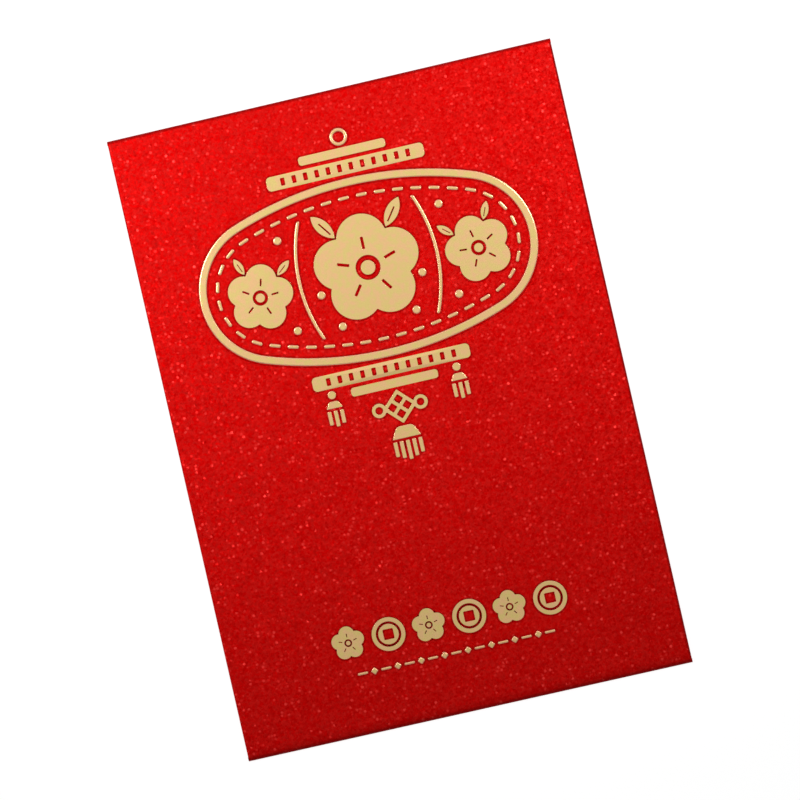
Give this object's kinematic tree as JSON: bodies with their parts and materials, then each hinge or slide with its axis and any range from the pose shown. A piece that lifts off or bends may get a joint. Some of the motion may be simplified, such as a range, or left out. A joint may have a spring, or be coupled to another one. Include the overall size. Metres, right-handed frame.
{
  "type": "red envelope",
  "caption": "Flat red paper gift packet with a glued back seam, a fold-over closure flap and a gold foil lantern and border stamped on its front.",
  "frame": {"origin": "centre of the packet's outline, on the surface it rests on (the underside of the closed flap)", "axes": "+X across the width to the front's right, +Y up the height towards the flap's crease, +Z out of the front face"},
  "size_m": [0.082, 0.115, 0.0016],
  "materials": {
    "paper": "red glitter paper, dyed through",
    "glue": "dried glue film",
    "foil": "satin gold stamping foil"
  },
  "bodies": {
    "pocket": {"front_panel": "paper", "left_fold": "paper", "right_fold": "paper", "bottom_fold": "paper", "flap_crease": "paper", "back_panel": "paper", "side_tab": "paper", "bottom_flap": "paper", "side_glue": "glue", "bottom_glue": "glue", "foil_hanging_ring": "foil", "foil_top_cap": "foil", "foil_lantern_outline": "foil", "foil_lantern_stitches": "foil", "foil_lantern_ribs": "foil", "foil_large_blossom": "foil", "foil_side_blossoms": "foil", "foil_leaves": "foil", "foil_buds": "foil", "foil_bottom_collar": "foil", "foil_knot": "foil", "foil_middle_tassel": "foil", "foil_drop_tassels": "foil", "foil_border_blossoms": "foil", "foil_border_coins": "foil", "foil_bead_line": "foil"},
    "closure_flap": {"closure_flap": "paper"}
  },
  "joints": [
    {"name": "flap_hinge", "type": "hinge", "parent": "pocket", "child": "closure_flap", "pos_m": [0, 0.0567, 0.0008], "axis": [1, 0, 0], "range_deg": [0, 180], "deforming": ["flap_crease"]}
  ]
}
